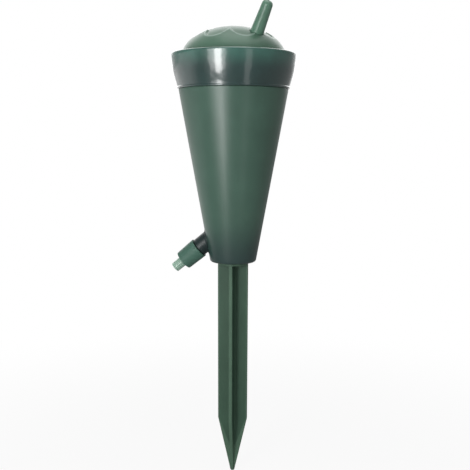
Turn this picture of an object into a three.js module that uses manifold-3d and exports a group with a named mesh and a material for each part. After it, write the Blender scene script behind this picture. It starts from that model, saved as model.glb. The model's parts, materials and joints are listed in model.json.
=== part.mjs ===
// Plant waterer: a conical water reservoir on a ground spike, with a domed lid and a screw-down drip valve.
// Millimetres, +Z up. The origin lies on the axis at the soil line, and the valve points towards -X.
import * as THREE from 'three';
import { mergeVertices } from 'three/addons/utils/BufferGeometryUtils.js';
import Module from 'manifold-3d';

const wasm = await Module();
wasm.setup();

// Fits shared by all pieces
const SEAT_GAP = 0.3; // between faces that rest on each other
const SLIDE_GAP = 0.4; // between walls that slide past each other
const SEAL_GAP = 0.15; // between a soft ring and the walls that squeeze it

// Reservoir
const SOIL_TO_FLOOR = 20; // soil line to the underside of the reservoir
const RESERVOIR_HEIGHT = 140; // underside of the floor to the top edge of the band
const FLOOR_RADIUS = 15.6; // where the cone's line meets the underside
const MOUTH_RADIUS = 41.1; // where the cone's line meets the top edge
const WALL = 2.4;
const FLOOR = 3;
const FLOOR_ROUND = 2.2; // outer corner of the floor
const INNER_ROUND = 2; // inner corner of the floor

// Band round the mouth
const BAND_HEIGHT = 23;
const BAND_PROUD = 1.65; // how far the band stands out of the cone
const BAND_LIP = 0.4; // how far its lower edge stands out
const BAND_SEAT = 0.9; // how deep it sits in the wall
const BAND_BELLY = 11; // top edge to where the band starts to curve in
const BAND_EDGE = 1.1; // rounding of the top edge
const BELLY_ROUND = 60;

// Ground spike
const SPIKE_LENGTH = 150; // underside of the reservoir to the tip
const POINT_LENGTH = 38.7;
const SPIKE_WIDTH = 20.9; // across two fins, at the head
const POINT_WIDTH = 20.4; // across two fins, where the point starts
const TIP_WIDTH = 1.9;
const FIN = 2.4;
const FIN_FILLET = 1.2;
const HEAD_PLATE = 1.6;
const TENON_WIDTH = 11;
const TENON_HEIGHT = 9;
const SOCKET_WALL = 2;

// Lid
const DOME_LEDGE = 5.1; // dome's foot to the flange's edge
const DOME_HEIGHT = 18.8;
const DOME_SINK = 3.8; // how far the centre of the dome's ellipse lies under its foot
const LID_WALL = 2.2;
const FLANGE = 2;
const FLANGE_EDGE = 0.5;
const PLUG_DEPTH = 10;
const PLUG_WALL = 2;
const LID_SEAL = 1;
const RECESS_DEPTH = 0.9;
const LOBES = 8;
const LOBE_RADIUS = 8.4;
const LOBE_INSET = 13.6; // dome's foot to the circle that the lobes' centres lie on
const LID_TURN = -43; // degrees about +Z from +X to the peg

// Vent peg, square to the dome
const PEG_INSET = 10.1; // dome's foot to where the peg's axis leaves the dome, measured level
const PEG_SINK = 1.1; // how deep its pocket lies under the recess
const PEG_LENGTH = 20.7;
const PEG_BASE = 9;
const PEG_TOP = 7;
const PEG_ROUND = 2.6;
const PEG_PLUG = 6;
const PEG_BOSS = 8.5; // length of the peg's socket under its shoulder
const PEG_BOSS_WALL = 1.6;
const PEG_RING = 0.8; // thickness of the peg's sealing ring
const VENT_BORE = 1.4;

// Drip valve, along its own axis from the outside of the wall
const VALVE_HEIGHT = 13.8; // underside of the reservoir to where the axis leaves the wall
const VALVE_DROP = 40; // degrees below level
const NECK = 12.5;
const NECK_LENGTH = 7.1;
const NECK_EDGE = 0.5;
const NECK_FOOT = 1.1; // width and thickness of the collar that lies on the cone
const SPOT_MARGIN = 1; // least depth of the counterbore
const VALVE_SEAL = 1;
const VALVE_BOSS_WALL = 2.6; // behind the counterbore
const VALVE_BOSS_RIM = 1.3; // round the nut and the counterbore
const SHANK = 6.6;
const NUT_FLATS = 10.6;
const NUT_HEIGHT = 3;
const NUT_SIDES = 6;
const STRAINER_WALL = 1.1;
const STRAINER_GRIP = 3.5; // length of shank inside the strainer
const STRAINER_CHAMBER = 4; // room in front of the shank
const STRAINER_SLOT = 1;
const STRAINER_SLOTS = 3; // each cut right across
const FLOW_BORE = 3.4;
const ORIFICE = 1.6;
const ORIFICE_LENGTH = 1.1;
const ORIFICE_END = 2.2; // outside of the wall to where the orifice widens

// Knob, needle and outlet tip
const NIPPLE = 8.4; // core of the nipple's thread
const THREAD_LENGTH = 5;
const THREAD_PITCH = 1.5;
const THREAD_DEPTH = 0.5;
const THREAD_PLAY = 0.25; // radial play between a ridge and the opposite core
const RIDGE_ROOT = 0.7;
const RIDGE_CREST = 0.4;
const KNOB_TURNS = 1.5; // shut to fully open
const KNOB = 14.3; // across its end at the neck
const KNOB_END = 13.3; // across its outer end
const KNOB_EDGE = 0.4;
const KNOB_END_WALL = 2.43;
const KNOB_RING = 1.2; // thickness of the knob's sealing ring
const GROOVE_DEPTH = 0.4;
const NEEDLE = 2;
const NEEDLE_POINT = 0.7;
const NEEDLE_DISC = 1;
const FLOW_HOLES = 4;
const FLOW_HOLE = 1.4;
const TIP_BASE = 7.2;
const TIP_END = 6.8;
const TIP_REACH = 7.9; // knob's end to the tip's end
const TIP_FLANGE = 0.6;
const TIP_BEARING = 0.35; // how far the tip's flange reaches past its hole
const TIP_BORE = 3.4;
const TIP_FUNNEL = 1.6;

// Fineness of the round surfaces
const LARGE_SIDES = 48;
const SMALL_SIDES = 20;
const RING_SIDES = 6;
const LOBE_SIDES = 24;
const ROUND_STEPS = 3;
const DOME_STEPS = 8;
const MERGE_DISTANCE = 1e-4;
const OVERLAP = 0.4; // how far joined shapes reach into each other
const CUT_MARGIN = 1; // how far a cutting bar reaches past a face
const ROUND_SHARE = 0.96; // most of a side that its two roundings may take

const rad = THREE.MathUtils.degToRad;

// Turns a closed geometry into a solid that can be joined and cut, placed by an optional matrix.
function solid(geometry, matrix = new THREE.Matrix4()) {
  const placed = geometry.clone().applyMatrix4(matrix);
  placed.deleteAttribute('normal');
  placed.deleteAttribute('uv');
  const merged = mergeVertices(placed, MERGE_DISTANCE);
  const corners = merged.index.array;
  const kept = [];
  for (let i = 0; i < corners.length; i += 3) {
    const [a, b, c] = corners.slice(i, i + 3);
    if (a !== b && b !== c && c !== a) {
      kept.push(a, b, c);
    }
  }
  const vertProperties = new Float32Array(merged.attributes.position.array);
  return new wasm.Manifold(new wasm.Mesh({ numProp: 3, vertProperties, triVerts: new Uint32Array(kept) }));
}

// A named mesh with its own material, from a joined and cut solid.
function piece(name, shape, colour, roughness, look = {}) {
  const { vertProperties, triVerts } = shape.getMesh();
  const geometry = new THREE.BufferGeometry();
  geometry.setAttribute('position', new THREE.BufferAttribute(vertProperties, 3));
  geometry.setIndex(new THREE.BufferAttribute(triVerts, 1));
  geometry.computeVertexNormals();
  const material = new THREE.MeshStandardMaterial({ color: colour, roughness, metalness: 0, ...look });
  const mesh = new THREE.Mesh(geometry, material);
  mesh.name = name;
  return mesh;
}

// Points along corners [x, y, rounding]; two roundings that are too long for the side between them share it.
function rounded(corners, closed = false) {
  const count = corners.length;
  const points = corners.map(([x, y]) => new THREE.Vector2(x, y));
  const neighbour = (i, step) => (i + step + count) % count;
  const side = (i, step) => points[neighbour(i, step)].clone().sub(points[i]);
  const wanted = corners.map(([, , rounding = 0], i) => {
    const inside = closed || (i > 0 && i < count - 1);
    return inside ? rounding / Math.tan(side(i, -1).angleTo(side(i, 1)) / 2) : 0;
  });
  const room = (i, step) => {
    const share = wanted[i] / (wanted[i] + wanted[neighbour(i, step)]);
    return ROUND_SHARE * share * side(i, step).length();
  };
  return points.flatMap((corner, i) => {
    if (wanted[i] === 0) {
      return corner;
    }
    const reach = Math.min(wanted[i], room(i, -1), room(i, 1));
    const start = corner.clone().addScaledVector(side(i, -1).normalize(), reach);
    const end = corner.clone().addScaledVector(side(i, 1).normalize(), reach);
    return new THREE.QuadraticBezierCurve(start, corner, end).getPoints(ROUND_STEPS);
  });
}

// Turns a profile of [radius, height, rounding] about +Z; it starts and ends on the axis.
function lathe(corners, sides) {
  return new THREE.LatheGeometry(rounded(corners), sides).rotateX(Math.PI / 2);
}

// The same for a hollow piece, whose profile closes on itself.
function ring(corners, sides) {
  const points = rounded(corners, true);
  points.push(points[0].clone());
  return new THREE.LatheGeometry(points, sides).rotateX(Math.PI / 2);
}

// A round bar along +Z between two heights.
function bar(radius, low, high, sides = SMALL_SIDES) {
  const cylinder = new THREE.CylinderGeometry(radius, radius, high - low, sides);
  return cylinder.rotateX(Math.PI / 2).translate(0, 0, (low + high) / 2);
}

// A ring of round section about +Z.
function sealRing(radius, thickness, height) {
  const torus = new THREE.TorusGeometry(radius, thickness / 2, RING_SIDES, SMALL_SIDES);
  return torus.translate(0, 0, height);
}

// An upright cross of two equal plates.
function cross(width, thickness, low, high) {
  const plate = new THREE.BoxGeometry(width, thickness, high - low).translate(0, 0, (low + high) / 2);
  return solid(plate).add(solid(plate, new THREE.Matrix4().makeRotationZ(Math.PI / 2)));
}

// A right-hand thread ridge about +Z, from its inner to its outer radius, starting at the angle phase.
function threadRidge(inner, outer, innerWidth, outerWidth, low, high, phase) {
  const room = high - low - Math.max(innerWidth, outerWidth);
  const steps = Math.ceil((room / THREAD_PITCH) * SMALL_SIDES);
  const middle = (low + high) / 2;
  const positions = [];
  for (let i = 0; i <= steps; i += 1) {
    const rise = (i / steps - 0.5) * room;
    const angle = phase + (2 * Math.PI * (middle + rise)) / THREAD_PITCH;
    const section = [[inner, -innerWidth], [outer, -outerWidth], [outer, outerWidth], [inner, innerWidth]];
    for (const [radius, width] of section) {
      positions.push(radius * Math.cos(angle), radius * Math.sin(angle), middle + rise + width / 2);
    }
  }
  const index = [0, 1, 2, 0, 2, 3];
  for (let i = 0; i < steps; i += 1) {
    for (let side = 0; side < 4; side += 1) {
      const a = 4 * i + side;
      const b = 4 * i + ((side + 1) % 4);
      index.push(a, a + 4, b, b, a + 4, b + 4);
    }
  }
  const last = 4 * steps;
  index.push(last, last + 2, last + 1, last, last + 3, last + 2);
  const geometry = new THREE.BufferGeometry();
  geometry.setAttribute('position', new THREE.Float32BufferAttribute(positions, 3));
  geometry.setIndex(index);
  return geometry;
}

// The reservoir's own lines, with height measured from the underside of its floor
const coneSlope = (MOUTH_RADIUS - FLOOR_RADIUS) / RESERVOIR_HEIGHT;
const coneAngle = Math.atan(coneSlope);
const wallAcross = WALL / Math.cos(coneAngle);
const coneRadius = (height) => FLOOR_RADIUS + coneSlope * height;
const insideRadius = (height) => coneRadius(height) - wallAcross;
const seatRadius = (height) => coneRadius(height) - BAND_SEAT;
const bandBottom = RESERVOIR_HEIGHT - BAND_HEIGHT;
const seatBottom = bandBottom - SEAT_GAP;
const flangeBottom = RESERVOIR_HEIGHT - FLANGE;
const wallTop = flangeBottom - LID_SEAL - 2 * SEAL_GAP;
const tenonTop = TENON_HEIGHT - SEAT_GAP;
const socketTop = TENON_HEIGHT + SEAT_GAP;
const socketRadius = Math.hypot(TENON_WIDTH / 2, FIN / 2) + SEAT_GAP + SOCKET_WALL;

// The valve's stations along its axis; 0 is the outside of the wall
const slant = rad(VALVE_DROP) - coneAngle;
const spotRadius = NECK / 2 + SLIDE_GAP;
const spotDepth = spotRadius * Math.tan(Math.abs(slant)) + SPOT_MARGIN;
const neckInner = -spotDepth + VALVE_SEAL + 2 * SEAL_GAP;
const bossFace = -spotDepth - VALVE_BOSS_WALL;
const nutOuter = bossFace - SEAT_GAP;
const nutInner = nutOuter - NUT_HEIGHT;
const shankHole = SHANK / 2 + SEAT_GAP;
const strainerOpen = nutInner - SEAT_GAP;
const shankEnd = strainerOpen - STRAINER_GRIP;
const strainerEnd = shankEnd - STRAINER_CHAMBER - STRAINER_WALL;
const nutCorner = NUT_FLATS / Math.sqrt(3);
const valveBossRadius = Math.max(nutCorner, spotRadius) + VALVE_BOSS_RIM;

const knobTravel = THREAD_PITCH * KNOB_TURNS;
const knobStart = NECK_LENGTH + SEAT_GAP;
const coreEnd = NECK_LENGTH + THREAD_LENGTH;
const wideBoreEnd = coreEnd + SEAT_GAP;
const ringHeight = wideBoreEnd + knobTravel + SEAT_GAP + KNOB_RING / 2;
const grooveHalf = KNOB_RING / 2 + SEAL_GAP;
const nippleEnd = ringHeight + grooveHalf + GROOVE_DEPTH;
const discLow = nippleEnd + SEAT_GAP;
const discHigh = discLow + NEEDLE_DISC;
const tipLow = discHigh + SEAT_GAP;
const tipShoulder = tipLow + TIP_FLANGE;
const knobFloor = tipShoulder + SEAT_GAP;
const knobEnd = knobFloor + KNOB_END_WALL;
const tipEnd = knobEnd + TIP_REACH;

const tipHole = TIP_BASE / 2 + SEAT_GAP;
const flangeRadius = tipHole + TIP_BEARING;
const narrowBore = flangeRadius + SEAT_GAP;
const ringRadius = narrowBore - SEAL_GAP - KNOB_RING / 2;
const grooveRadius = ringRadius - KNOB_RING / 2 - SEAL_GAP;
const landRadius = grooveRadius + GROOVE_DEPTH;
const coreRadius = NIPPLE / 2;
const wideBore = coreRadius + THREAD_DEPTH + THREAD_PLAY;
const orificeStart = ORIFICE_END - ORIFICE_LENGTH;
const seatTop = ORIFICE_END + (FLOW_BORE - ORIFICE) / 2;

// The lid's own lines, with height measured from the top edge of the band
const lidFlangeRadius = seatRadius(flangeBottom) + SEAT_GAP - SLIDE_GAP;
const domeRadius = lidFlangeRadius - DOME_LEDGE;
const domeRise = DOME_HEIGHT + DOME_SINK;
const domeSpan = domeRadius / Math.cos(Math.asin(DOME_SINK / domeRise));
const lobeCircle = domeRadius - LOBE_INSET;
const plugRadius = (height) => insideRadius(RESERVOIR_HEIGHT + height) - SLIDE_GAP;
const plugBottom = -FLANGE - PLUG_DEPTH;

// The peg's stations along its axis; 0 is the dome's surface
const pegReach = domeRadius - PEG_INSET;
const pegAboveCentre = domeRise * Math.sqrt(1 - (pegReach / domeSpan) ** 2);
const pegTilt = Math.atan2(pegReach / domeSpan ** 2, pegAboveCentre / domeRise ** 2);
const pocketRadius = PEG_BASE / 2 + SLIDE_GAP;
const pocketDepth = RECESS_DEPTH + PEG_SINK;
const pegShoulder = -pocketDepth + SEAT_GAP;
const pegBossEnd = -pocketDepth - PEG_BOSS;
const pegEnd = pegBossEnd - PEG_BOSS_WALL;
const pegRingHeight = -pocketDepth - PEG_BOSS / 2;
const pegHole = PEG_PLUG / 2 + SEAT_GAP;
const pegRingRadius = pegHole - SEAL_GAP - PEG_RING / 2;
const pegGrooveRadius = pegRingRadius - PEG_RING / 2 - SEAL_GAP;
const pegGrooveHalf = PEG_RING / 2 + SEAL_GAP;

// Groups: the reservoir stands on the spike and carries the lid and the valve
const waterer = new THREE.Group();
const reservoir = new THREE.Group();
reservoir.position.z = SOIL_TO_FLOOR;
const lid = new THREE.Group();
lid.position.z = RESERVOIR_HEIGHT;
lid.rotation.z = rad(LID_TURN);
const peg = new THREE.Group();
peg.position.set(pegReach, 0, pegAboveCentre - DOME_SINK);
peg.rotation.y = pegTilt;
peg.updateMatrix();
const valve = new THREE.Group();
valve.position.set(-coneRadius(VALVE_HEIGHT), 0, VALVE_HEIGHT);
valve.rotation.y = -rad(90 + VALVE_DROP);
valve.updateMatrix();
waterer.add(reservoir);
reservoir.add(lid, valve);
lid.add(peg);

// Ground spike: a filleted cross trimmed to the fins' taper, with a head plate and a tenon
function makeSpike() {
  const tip = SOIL_TO_FLOOR - SPIKE_LENGTH;
  const head = SOIL_TO_FLOOR - SEAT_GAP;
  const pointStart = tip + POINT_LENGTH;
  const half = SPIKE_WIDTH / 2;
  const fin = FIN / 2;
  const section = [];
  for (let quarter = 0; quarter < 4; quarter += 1) {
    const turn = (quarter * Math.PI) / 2;
    for (const [x, y, rounding] of [[half, -fin, 0], [half, fin, 0], [fin, fin, FIN_FILLET]]) {
      const corner = new THREE.Vector2(x, y).rotateAround(new THREE.Vector2(), turn);
      section.push([corner.x, corner.y, rounding]);
    }
  }
  const crossShape = new THREE.Shape(rounded(section, true));
  const stem = new THREE.ExtrudeGeometry(crossShape, { depth: head - tip, bevelEnabled: false });
  stem.translate(0, 0, tip);
  const tipRound = TIP_WIDTH / 2;
  const side = [
    [half, head],
    [-half, head],
    [-POINT_WIDTH / 2, pointStart],
    [-TIP_WIDTH / 2, tip, tipRound],
    [TIP_WIDTH / 2, tip, tipRound],
    [POINT_WIDTH / 2, pointStart],
  ];
  const sideShape = new THREE.Shape(rounded(side, true));
  const trim = new THREE.ExtrudeGeometry(sideShape, { depth: 2 * SPIKE_WIDTH, bevelEnabled: false });
  trim.rotateX(Math.PI / 2).translate(0, SPIKE_WIDTH, 0);
  const quarterTurn = new THREE.Matrix4().makeRotationZ(Math.PI / 2);
  const fins = solid(stem).intersect(solid(trim)).intersect(solid(trim, quarterTurn));
  const plate = solid(bar(half, head - HEAD_PLATE, head, LARGE_SIDES));
  const tenon = cross(TENON_WIDTH, FIN, head - HEAD_PLATE / 2, SOIL_TO_FLOOR + tenonTop);
  return piece('ground_spike', fins.add(plate).add(tenon), '#46604f', 0.5);
}

// Reservoir: a conical shell with a floor, the spike's socket and a slanted boss for the valve
function makeCone() {
  const shell = solid(lathe([
    [0, 0],
    [FLOOR_RADIUS, 0, FLOOR_ROUND],
    [coneRadius(seatBottom), seatBottom],
    [seatRadius(seatBottom), seatBottom],
    [seatRadius(wallTop), wallTop],
    [insideRadius(wallTop), wallTop],
    [insideRadius(FLOOR), FLOOR, INNER_ROUND],
    [socketRadius, FLOOR],
    [socketRadius, socketTop + SOCKET_WALL],
    [0, socketTop + SOCKET_WALL],
  ], LARGE_SIDES));
  const midWall = (height) => coneRadius(height) - wallAcross / 2;
  const within = solid(lathe([
    [0, FLOOR / 2],
    [midWall(FLOOR / 2), FLOOR / 2],
    [midWall(bandBottom), bandBottom],
    [0, bandBottom],
  ], LARGE_SIDES));
  const boss = solid(bar(valveBossRadius, bossFace, NECK_LENGTH), valve.matrix).intersect(within);
  const counterbore = solid(bar(spotRadius, -spotDepth, NECK), valve.matrix);
  const hole = solid(bar(shankHole, strainerEnd, 0), valve.matrix);
  const socket = cross(TENON_WIDTH + 2 * SEAT_GAP, FIN + 2 * SEAT_GAP, -FLOOR, socketTop);
  const shape = shell.add(boss).subtract(counterbore).subtract(hole).subtract(socket);
  return piece('reservoir_cone', shape, '#4c6459', 0.55);
}

// Band: bulged outside, following the cone inside
function makeBand() {
  const bellyTop = RESERVOIR_HEIGHT - BAND_BELLY;
  const inner = (height) => seatRadius(height) + SEAT_GAP;
  const profile = ring([
    [inner(bandBottom), bandBottom],
    [coneRadius(bandBottom) + BAND_LIP, bandBottom, BAND_LIP],
    [coneRadius(bellyTop) + BAND_PROUD, bellyTop, BELLY_ROUND],
    [coneRadius(RESERVOIR_HEIGHT) + BAND_PROUD, RESERVOIR_HEIGHT, BAND_EDGE],
    [inner(RESERVOIR_HEIGHT), RESERVOIR_HEIGHT, BAND_LIP],
  ], LARGE_SIDES);
  return piece('rim_band', solid(profile), '#2f4a45', 0.15);
}

// Points along the dome's profile, or one that lies inside it, from a height up to the axis
function domeArc(inset, foot) {
  const span = domeSpan - inset;
  const rise = domeRise - inset;
  const start = Math.asin((foot + DOME_SINK) / rise);
  const points = [];
  for (let i = 0; i <= DOME_STEPS; i += 1) {
    const angle = start + (i / DOME_STEPS) * (Math.PI / 2 - start);
    const across = i === DOME_STEPS ? 0 : span * Math.cos(angle);
    points.push([across, rise * Math.sin(angle) - DOME_SINK]);
  }
  return points;
}

// Lid: a dome with a scalloped finger recess, a flange, a plug skirt and the peg's socket
function makeLid() {
  const underside = domeArc(RECESS_DEPTH + LID_WALL, -FLANGE).reverse();
  const shell = solid(lathe([
    ...underside,
    [plugRadius(-FLANGE) - PLUG_WALL, -FLANGE],
    [plugRadius(plugBottom) - PLUG_WALL, plugBottom],
    [plugRadius(plugBottom), plugBottom, FLANGE_EDGE],
    [plugRadius(-FLANGE), -FLANGE],
    [lidFlangeRadius, -FLANGE],
    [lidFlangeRadius, 0, FLANGE_EDGE],
    ...domeArc(0, 0),
  ], LARGE_SIDES));
  const underDome = solid(lathe([
    [0, pegBossEnd],
    [domeRadius, pegBossEnd],
    ...domeArc(LID_WALL / 2, 0),
  ], LARGE_SIDES));
  const bossBar = bar(pocketRadius + PEG_BOSS_WALL, pegBossEnd, PEG_BOSS);
  const boss = solid(bossBar, peg.matrix).intersect(underDome);
  const recessFloor = domeArc(RECESS_DEPTH, 0);
  let rosette = solid(bar(lobeCircle * Math.cos(Math.PI / LOBES), 0, 2 * DOME_HEIGHT, LOBE_SIDES));
  for (let i = 0; i < LOBES; i += 1) {
    const angle = ((i + 0.5) / LOBES) * 2 * Math.PI;
    const centre = new THREE.Vector3(Math.cos(angle), Math.sin(angle), 0).multiplyScalar(lobeCircle);
    const move = new THREE.Matrix4().setPosition(centre);
    rosette = rosette.add(solid(bar(LOBE_RADIUS, 0, 2 * DOME_HEIGHT, LOBE_SIDES), move));
  }
  const recess = rosette.subtract(solid(lathe([[0, 0], ...recessFloor], LARGE_SIDES)));
  const pocket = solid(bar(pocketRadius, -pocketDepth, PEG_LENGTH), peg.matrix);
  const hole = solid(bar(pegHole, pegBossEnd - PEG_BOSS, 0), peg.matrix);
  const shape = shell.add(boss).subtract(recess).subtract(pocket).subtract(hole);
  return piece('lid_dome', shape, '#5f7d6e', 0.6);
}

function makeLidSeal() {
  const low = wallTop + SEAL_GAP - RESERVOIR_HEIGHT;
  const high = low + LID_SEAL;
  const inner = insideRadius(wallTop);
  const outer = seatRadius(wallTop);
  const profile = ring([[inner, low], [outer, low], [outer, high], [inner, high]], LARGE_SIDES);
  return piece('lid_seal', solid(profile), '#26292a', 0.8);
}

// Peg: a tapered hollow stem with a rounded end, a shoulder and a grooved plug
function makePeg() {
  const vent = VENT_BORE / 2;
  const plug = PEG_PLUG / 2;
  const profile = ring([
    [vent, pegEnd],
    [plug, pegEnd, PEG_RING],
    [plug, pegRingHeight - pegGrooveHalf],
    [pegGrooveRadius, pegRingHeight - pegGrooveHalf],
    [pegGrooveRadius, pegRingHeight + pegGrooveHalf],
    [plug, pegRingHeight + pegGrooveHalf],
    [plug, pegShoulder],
    [PEG_BASE / 2, pegShoulder],
    [PEG_TOP / 2, PEG_LENGTH, PEG_ROUND],
    [vent, PEG_LENGTH],
  ], SMALL_SIDES);
  return piece('vent_peg', solid(profile), '#3a6650', 0.2);
}

function makePegRing() {
  const shape = solid(sealRing(pegRingRadius, PEG_RING, pegRingHeight));
  return piece('peg_o_ring', shape, '#232627', 0.8);
}

// Valve body: a bored shank, a neck with a collar on the cone and a threaded nipple with a ring groove
function makeValveBody() {
  const bore = FLOW_BORE / 2;
  const orifice = ORIFICE / 2;
  const body = solid(ring([
    [bore, shankEnd],
    [SHANK / 2, shankEnd],
    [SHANK / 2, neckInner],
    [NECK / 2, neckInner],
    [NECK / 2, NECK_LENGTH, NECK_EDGE],
    [coreRadius, NECK_LENGTH],
    [coreRadius, coreEnd],
    [landRadius, coreEnd],
    [landRadius, ringHeight - grooveHalf],
    [grooveRadius, ringHeight - grooveHalf],
    [grooveRadius, ringHeight + grooveHalf],
    [landRadius, ringHeight + grooveHalf],
    [landRadius, nippleEnd],
    [bore, nippleEnd],
    [bore, seatTop],
    [orifice, ORIFICE_END],
    [orifice, orificeStart],
    [bore, orificeStart],
  ], SMALL_SIDES));
  const crest = coreRadius + THREAD_DEPTH;
  const root = coreRadius - OVERLAP;
  const low = NECK_LENGTH + RIDGE_ROOT;
  const thread = solid(threadRidge(root, crest, RIDGE_ROOT, RIDGE_CREST, low, coreEnd - SEAT_GAP, 0));
  const toValve = valve.matrix.clone().invert();
  const coneGrownBy = (offset) => solid(lathe([
    [0, 0],
    [coneRadius(0) + offset, 0],
    [coneRadius(bandBottom) + offset, bandBottom],
    [0, bandBottom],
  ], LARGE_SIDES), toValve);
  const collar = solid(bar(NECK / 2 + NECK_FOOT, -NECK, NECK))
    .intersect(coneGrownBy(SEAL_GAP + NECK_FOOT))
    .subtract(coneGrownBy(SEAL_GAP))
    .subtract(solid(bar(NECK / 2 - OVERLAP, -2 * NECK, 2 * NECK)));
  return piece('valve_body', body.add(thread).add(collar), '#33383a', 0.35);
}

function makeValveSeal() {
  const low = -spotDepth + SEAL_GAP;
  const high = low + VALVE_SEAL;
  const profile = ring([[shankHole, low], [NECK / 2, low], [NECK / 2, high], [shankHole, high]], SMALL_SIDES);
  return piece('valve_body_seal', solid(profile), '#232627', 0.8);
}

function makeNut() {
  const nut = solid(bar(nutCorner, nutInner, nutOuter, NUT_SIDES));
  const hole = solid(bar(shankHole, nutInner - CUT_MARGIN, nutOuter + CUT_MARGIN));
  return piece('valve_lock_nut', nut.subtract(hole), '#33383a', 0.4);
}

// Strainer: a cap over the shank's inner end, slotted round its closed end
function makeStrainer() {
  const inner = shankHole;
  const outer = inner + STRAINER_WALL;
  const chamberEnd = strainerEnd + STRAINER_WALL;
  let cap = solid(lathe([
    [0, strainerEnd],
    [outer, strainerEnd, STRAINER_WALL / 2],
    [outer, strainerOpen],
    [inner, strainerOpen],
    [inner, chamberEnd],
    [0, chamberEnd],
  ], SMALL_SIDES));
  const slotLength = STRAINER_CHAMBER - 2 * SEAT_GAP;
  for (let i = 0; i < STRAINER_SLOTS; i += 1) {
    const slot = new THREE.BoxGeometry(4 * outer, STRAINER_SLOT, slotLength);
    slot.translate(0, 0, chamberEnd + STRAINER_CHAMBER / 2);
    cap = cap.subtract(solid(slot, new THREE.Matrix4().makeRotationZ((i * Math.PI) / STRAINER_SLOTS)));
  }
  return piece('inlet_strainer', cap, '#c9cfc9', 0.5);
}

// Knob: a plain tapered sleeve, threaded inside, that holds the tip behind its end wall
function makeKnob() {
  const body = solid(ring([
    [wideBore, knobStart],
    [KNOB / 2, knobStart, KNOB_EDGE],
    [KNOB_END / 2, knobEnd, KNOB_EDGE],
    [tipHole, knobEnd],
    [tipHole, knobFloor],
    [narrowBore, knobFloor],
    [narrowBore, wideBoreEnd],
    [wideBore, wideBoreEnd],
  ], SMALL_SIDES));
  const crest = coreRadius + THREAD_PLAY;
  const root = wideBore + OVERLAP;
  const low = knobStart + SEAT_GAP;
  const thread = solid(threadRidge(crest, root, RIDGE_CREST, RIDGE_ROOT, low, wideBoreEnd, Math.PI));
  return piece('drip_knob', body.add(thread), '#567a6b', 0.45);
}

function makeKnobRing() {
  const shape = solid(sealRing(ringRadius, KNOB_RING, ringHeight));
  return piece('knob_o_ring', shape, '#232627', 0.8);
}

// Needle: a pointed pin on a disc that lets the water past
function makeNeedle() {
  const pin = NEEDLE / 2;
  const point = NEEDLE_POINT / 2;
  const pinEnd = ORIFICE_END + (pin - ORIFICE / 2) + SLIDE_GAP;
  let shape = solid(lathe([
    [0, pinEnd - (pin - point)],
    [point, pinEnd - (pin - point)],
    [pin, pinEnd],
    [pin, discLow],
    [flangeRadius, discLow],
    [flangeRadius, discHigh],
    [0, discHigh],
  ], SMALL_SIDES));
  for (let i = 0; i < FLOW_HOLES; i += 1) {
    const angle = (i / FLOW_HOLES) * 2 * Math.PI;
    const across = (pin + flangeRadius) / 2;
    const move = new THREE.Matrix4().makeTranslation(across * Math.cos(angle), across * Math.sin(angle), 0);
    const hole = bar(FLOW_HOLE / 2, discLow - CUT_MARGIN, discHigh + CUT_MARGIN, SMALL_SIDES / 2);
    shape = shape.subtract(solid(hole, move));
  }
  return piece('drip_needle', shape, '#c9cfc9', 0.4);
}

// Tip: a tapered spout with a flange that the knob holds, funnelled where the water comes in
function makeTip() {
  const bore = TIP_BORE / 2;
  const funnel = (NEEDLE / 2 + flangeRadius) / 2 + FLOW_HOLE / 4;
  const profile = ring([
    [funnel, tipLow],
    [flangeRadius, tipLow],
    [flangeRadius, tipShoulder],
    [TIP_BASE / 2, tipShoulder],
    [TIP_END / 2, tipEnd],
    [bore, tipEnd],
    [bore, tipLow + TIP_FUNNEL],
  ], SMALL_SIDES);
  return piece('drip_tip', solid(profile), '#b4cdbf', 0.3, { transparent: true, opacity: 0.75 });
}

waterer.add(makeSpike());
reservoir.add(makeCone(), makeBand());
lid.add(makeLid(), makeLidSeal());
peg.add(makePeg(), makePegRing());
valve.add(makeValveBody(), makeValveSeal(), makeNut(), makeStrainer());
valve.add(makeKnob(), makeKnobRing(), makeNeedle(), makeTip());

export default waterer;
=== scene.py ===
import json
import math

import bmesh
import bpy
from mathutils import Matrix, Vector


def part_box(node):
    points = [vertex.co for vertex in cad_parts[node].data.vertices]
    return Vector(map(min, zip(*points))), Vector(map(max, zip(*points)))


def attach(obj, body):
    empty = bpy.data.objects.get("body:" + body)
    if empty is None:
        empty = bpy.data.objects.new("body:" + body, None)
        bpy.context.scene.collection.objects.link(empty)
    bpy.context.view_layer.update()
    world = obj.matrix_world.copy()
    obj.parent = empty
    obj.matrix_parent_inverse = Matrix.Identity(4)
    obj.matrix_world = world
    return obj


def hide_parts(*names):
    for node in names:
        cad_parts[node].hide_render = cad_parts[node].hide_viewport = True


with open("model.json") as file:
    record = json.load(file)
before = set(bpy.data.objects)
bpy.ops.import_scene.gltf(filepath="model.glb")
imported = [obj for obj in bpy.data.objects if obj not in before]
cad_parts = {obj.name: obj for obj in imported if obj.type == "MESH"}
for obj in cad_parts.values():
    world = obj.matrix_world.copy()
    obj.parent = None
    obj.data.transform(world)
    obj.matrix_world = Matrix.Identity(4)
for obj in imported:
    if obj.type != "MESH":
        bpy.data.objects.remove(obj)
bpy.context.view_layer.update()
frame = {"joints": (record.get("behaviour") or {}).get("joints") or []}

# The frame, in millimetres: heights, the valve's axis and the peg's axis
MM = 0.001
JOINTS = {joint["name"]: joint for joint in frame["joints"]}
FLOOR_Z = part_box("reservoir_cone")[0].z / MM
RIM_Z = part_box("rim_band")[1].z / MM
TIP_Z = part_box("ground_spike")[0].z / MM
VALVE_AXIS = Vector(JOINTS["knob_turn"]["axis"])
VALVE_ORIGIN = Vector(JOINTS["knob_turn"]["pos_m"]) / MM
PEG_AXIS = Vector(JOINTS["vent_peg_pull"]["axis"])
LID_TURN = math.atan2(PEG_AXIS.y, PEG_AXIS.x)
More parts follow.
